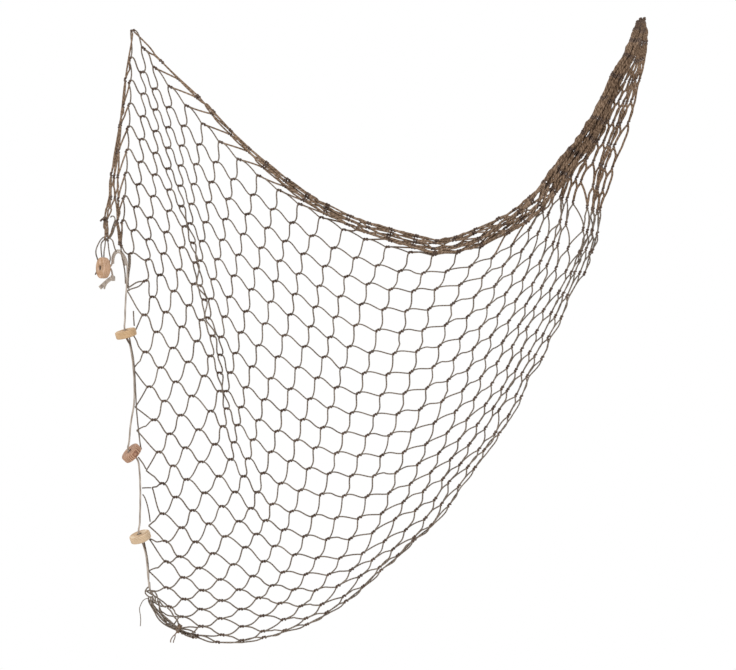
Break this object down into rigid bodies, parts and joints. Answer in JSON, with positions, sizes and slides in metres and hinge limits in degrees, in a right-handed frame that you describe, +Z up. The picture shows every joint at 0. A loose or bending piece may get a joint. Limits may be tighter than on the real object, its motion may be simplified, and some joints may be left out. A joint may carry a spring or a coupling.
{
  "type": "fishing net",
  "caption": "Knotted twine net hung from two points on a wall, gathered into a swag along the top, with a float line, wooden disc floats and a lashed corner.",
  "frame": {"origin": "middle of the twine loop at the left hanging point", "axes": "+Z up, +X to the right along the wall, -Y off the wall towards the room"},
  "size_m": [1.1606, 0.0482, 1.3092],
  "materials": {
    "twine": "matt twisted twine",
    "line": "matt laid cord",
    "pale_wood": "bare turned wood",
    "brown_wood": "bare turned wood"
  },
  "bodies": {
    "root": {"netting": "twine", "float_line": "line", "float_1": "pale_wood", "float_2": "pale_wood", "float_3": "brown_wood", "float_4": "pale_wood", "corner_lashing": "twine"}
  },
  "joints": []
}
